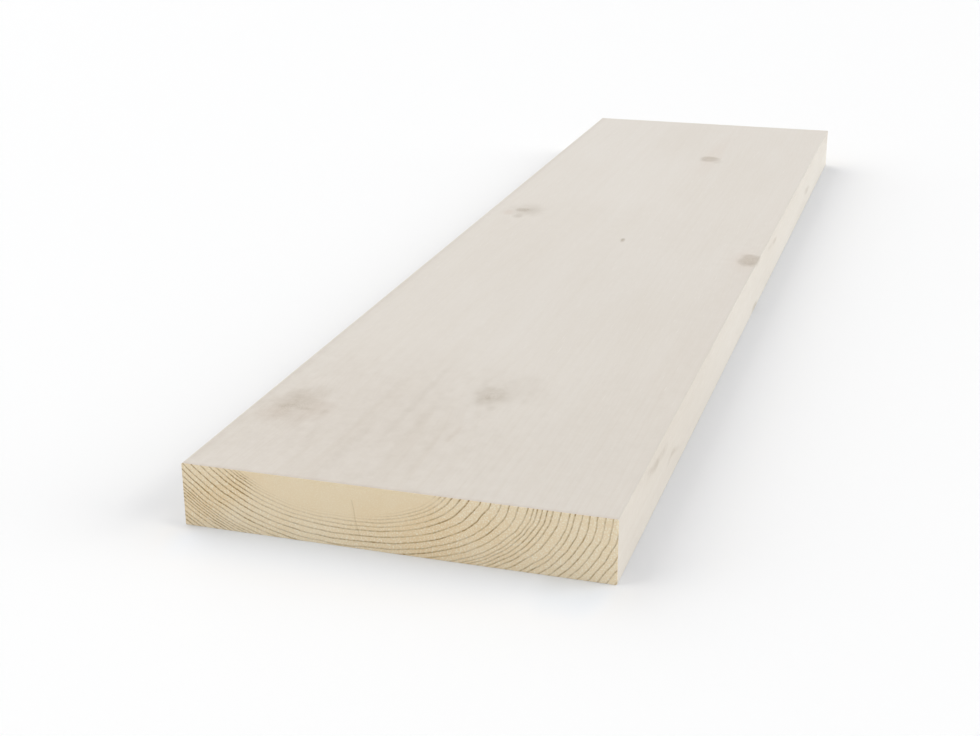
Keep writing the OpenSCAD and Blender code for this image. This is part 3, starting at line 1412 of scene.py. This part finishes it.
# Streaks of grain that show through where the stain is thin
STREAKS = (
    Blot(Side.UPPER, 70.0, 54.6, 36.0, 1.4, brown=0.06, soft=0.7),
    Blot(Side.UPPER, 62.0, 42.3, 30.0, 1.5, brown=0.04, soft=0.8),
    Blot(Side.UPPER, 50.0, 62.2, 28.0, 1.6, brown=0.045, soft=0.8),
    Blot(Side.UPPER, 33.0, 31.0, 14.0, 1.6, brown=0.05, soft=0.8, turn=-10.0),
    Blot(Side.UPPER, 34.0, 25.0, 10.0, 1.5, brown=0.045, soft=0.8, turn=-14.0),
    Blot(Side.UPPER, 34.0, 46.4, 22.0, 2.0, brown=0.04, soft=0.8),
    Blot(Side.UPPER, 42.0, 72.4, 18.0, 1.5, brown=0.035, soft=0.8),
    Blot(Side.UPPER, 50.0, 77.0, 7.0, 1.0, brown=0.05, flush=0.05, soft=0.8, turn=5.0),
)
# Where the sawn end's late wood is darker, and where its early wood is warmer
END_TONES = (
    Blot(Side.NEAR_END, 5.0, 7.5, 22.0, 8.0, brown=0.4, soft=0.6),
    Blot(Side.NEAR_END, 12.0, 10.5, 15.0, 4.5, brown=0.5, flush=0.35, soft=0.7, turn=-35.0),
    Blot(Side.NEAR_END, 23.5, 3.2, 5.0, 2.6, brown=0.25, soft=0.6),
    Blot(Side.NEAR_END, 79.0, 6.8, 13.0, 1.8, brown=0.35, soft=0.7, turn=-20.0),
    Blot(Side.NEAR_END, 98.0, 5.0, 15.0, 10.0, brown=0.3, soft=0.8),
    Blot(Side.NEAR_END, 90.0, 16.0, 26.0, 10.0, flush=0.5, soft=0.7),
    Blot(Side.NEAR_END, 4.0, 14.0, 9.0, 6.0, flush=0.3, soft=0.8),
    Blot(Side.NEAR_END, 102.0, 3.0, 22.0, 8.0, flush=0.25, soft=0.7),
    Blot(Side.NEAR_END, 14.0, 6.0, 9.0, 5.0, flush=0.4, soft=0.8),
    Blot(Side.NEAR_END, 112.0, 0.0, 36.0, 1.2, brown=0.5, soft=0.6),
    Blot(Side.NEAR_END, 6.0, 0.0, 11.0, 1.2, brown=0.5, soft=0.6),
    Blot(Side.NEAR_END, 85.0, 15.0, 11.0, 8.0, flush=0.4, soft=0.6),
    Blot(Side.NEAR_END, 15.0, 10.0, 9.0, 4.0, flush=0.35, soft=0.7),
)
# The drying check, from its wide end near the heart to its tip, along the mouth that the solid has
CHECK_LINE = ((59.1, 5.2), (59.7, 8.4), (60.0, 11.5), (60.6, 14.6), (61.6, 17.5))
CRACKS = (Crack(Side.NEAR_END, CHECK_LINE, half_width=0.16, depth=0.15, tip_share=0.8),)


def main() -> None:
    """Builds the studio and the plank, and says what was made."""
    low, high = (np.array(corner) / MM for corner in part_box("plank"))
    length, width, thickness = high - low
    Studio().build()
    LOG.info("studio: floor, lamps and camera")
    timber = Timber(length, width, thickness, KNOTS + THIN_PLACES_AND_DARK_RIMS + STREAKS + END_TONES, CRACKS)
    faces = WhiteStainedSpruce("white_stained_planed_spruce_face", stain="#E4DFD8")
    # The edges' stain is a little paler than the faces': painted light that lifts the edges, which the lamps
    # light less than the upper face
    edges = WhiteStainedSpruce("white_stained_planed_spruce_edge_with_painted_light", stain="#E8E4DC", streak_swing=0.02)
    plank = Plank(timber, faces, edges, SawnSpruceEnd()).build()
    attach(plank, "root")
    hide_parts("plank")
    triangles = sum(len(face.vertices) - 2 for face in plank.data.polygons)
    LOG.info("%s: %.0f x %.0f x %.0f mm, %d triangles", plank.name, length, width, thickness, triangles)


if __name__ == "__main__":
    logging.basicConfig(level=logging.INFO)
    main()
